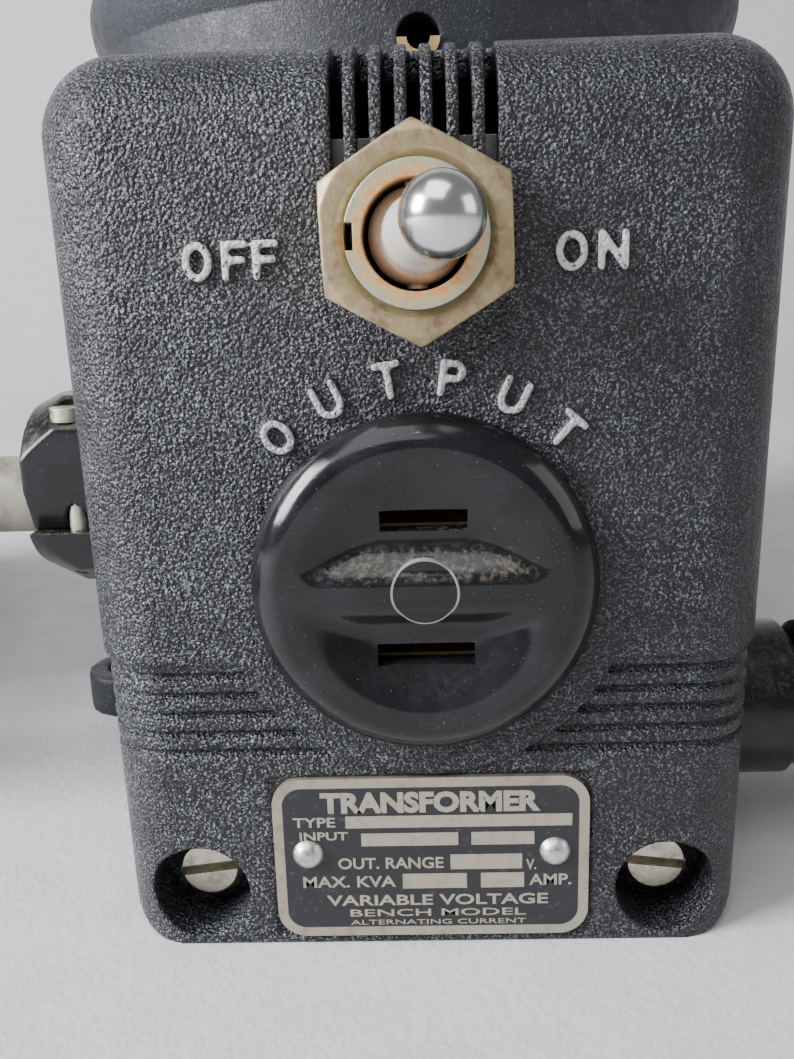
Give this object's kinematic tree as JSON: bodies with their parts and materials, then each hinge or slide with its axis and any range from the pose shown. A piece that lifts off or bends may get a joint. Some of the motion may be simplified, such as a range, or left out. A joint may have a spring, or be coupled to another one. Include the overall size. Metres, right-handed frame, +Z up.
{
  "type": "variable autotransformer",
  "caption": "Bench variable autotransformer: round black enamelled housing with dial and knob, front terminal box with toggle switch, outlet, fuse holder and supply cord.",
  "frame": {"origin": "shaft axis at the base plane, centre of the four mounting holes", "axes": "+Z up along the shaft, the terminal box faces -Y, the supply cord leaves on -X"},
  "size_m": [0.2597, 0.1889, 0.1389],
  "materials": {
    "wrinkle_enamel": "black wrinkle enamel, semi-matt",
    "pebble_enamel": "black pebble enamel, satin, worn letter tops",
    "dial": "satin with black print",
    "nickel": "bright nickel",
    "bronze": "oiled bronze",
    "silicon_steel": "laminated strip edge",
    "fibre": "varnished fibre",
    "enamelled_copper": "varnished copper wire",
    "bare_copper": "ground bare copper",
    "felt": "felt",
    "zinc_steel": "zinc plate",
    "aged_nickel": "aged nickel plate",
    "plate": "black etched plate, bare border",
    "rivet_aluminium": "satin",
    "bakelite": "polished black phenolic",
    "bakelite_worn": "worn black phenolic",
    "brass": "dull",
    "tarnished_bronze": "tarnished with rust stains",
    "fuse_glass": "clear",
    "cotton_wire": "cotton covered wire",
    "cord_rubber": "weathered grey-brown jacket",
    "tie_rubber": "matt",
    "cast_arm": "as cast",
    "spring_steel": "drawn",
    "carbon": "graphite"
  },
  "bodies": {
    "frame": {"base_casting": "wrinkle_enamel", "housing": "wrinkle_enamel", "dial_plate": "dial", "dial_pins": "nickel", "upper_bearing": "bronze", "lower_bearing": "bronze", "core": "silicon_steel", "core_insulator_lower": "fibre", "core_insulator_upper": "fibre", "winding": "enamelled_copper", "commutator_track": "bare_copper", "core_pad_lower": "felt", "core_pad_upper": "felt", "core_clamp": "zinc_steel", "clamp_bolts": "zinc_steel", "stop_pin": "zinc_steel", "box_cover": "pebble_enamel", "cover_screws": "aged_nickel", "nameplate": "plate", "nameplate_rivets": "rivet_aluminium", "outlet_body": "bakelite", "outlet_contacts": "brass", "outlet_retainer": "zinc_steel", "outlet_screws": "brass", "switch_bushing": "tarnished_bronze", "switch_nut": "tarnished_bronze", "switch_back_nut": "tarnished_bronze", "switch_frame": "zinc_steel", "switch_body": "bakelite", "switch_terminals": "brass", "fuse_holder_body": "bakelite_worn", "fuse_holder_nut": "zinc_steel", "fuse_holder_tag": "brass", "cord_grip_lower": "bakelite_worn", "cord_grip_upper": "bakelite_worn", "cord_grip_screws": "aged_nickel", "cord_grip_nut": "zinc_steel", "lead_wires": "cotton_wire", "lead_grommet": "fibre", "cord": "cord_rubber", "cord_coil": "cord_rubber", "cord_end": "cord_rubber", "cord_tie": "tie_rubber", "plug_body": "bakelite", "plug_blades": "brass"},
    "rotor": {"shaft": "zinc_steel", "shaft_collar": "zinc_steel", "knob": "bakelite", "knob_screw": "zinc_steel", "brush_arm": "cast_arm", "brush_arm_screw": "zinc_steel", "brush_holder": "brass", "brush_spring": "spring_steel"},
    "brush_block": {"brush": "carbon"},
    "lever": {"switch_lever": "nickel"},
    "fuse_lock": {"fuse_lock_ring": "zinc_steel"},
    "fuse_plug": {"fuse_cap": "bakelite_worn", "fuse_glass": "fuse_glass", "fuse_end_caps": "nickel"}
  },
  "joints": [
    {"name": "knob_turn", "type": "hinge", "parent": "frame", "child": "rotor", "pos_m": [0, 0, 0.06], "axis": [0, 0, 1], "range_deg": [-320, 0]},
    {"name": "brush_press", "type": "slide", "parent": "rotor", "child": "brush_block", "axis": [0, 0, 1], "range_m": [0, 0.001], "stiffness_N_per_m": 300, "springref_m": -0.004, "deforming": ["brush_spring"]},
    {"name": "switch_throw", "type": "hinge", "parent": "frame", "child": "lever", "pos_m": [0, -0.1151, 0.0691], "axis": [0, 0, 1], "range_deg": [-18, 0]},
    {"name": "fuse_cap_turn", "type": "hinge", "parent": "frame", "child": "fuse_lock", "pos_m": [0.04, -0.0926, 0.017], "axis": [1, 0, 0], "range_deg": [0, 45]},
    {"name": "fuse_pull", "type": "slide", "parent": "fuse_lock", "child": "fuse_plug", "axis": [1, 0, 0], "range_m": [0, 0.034]}
  ]
}
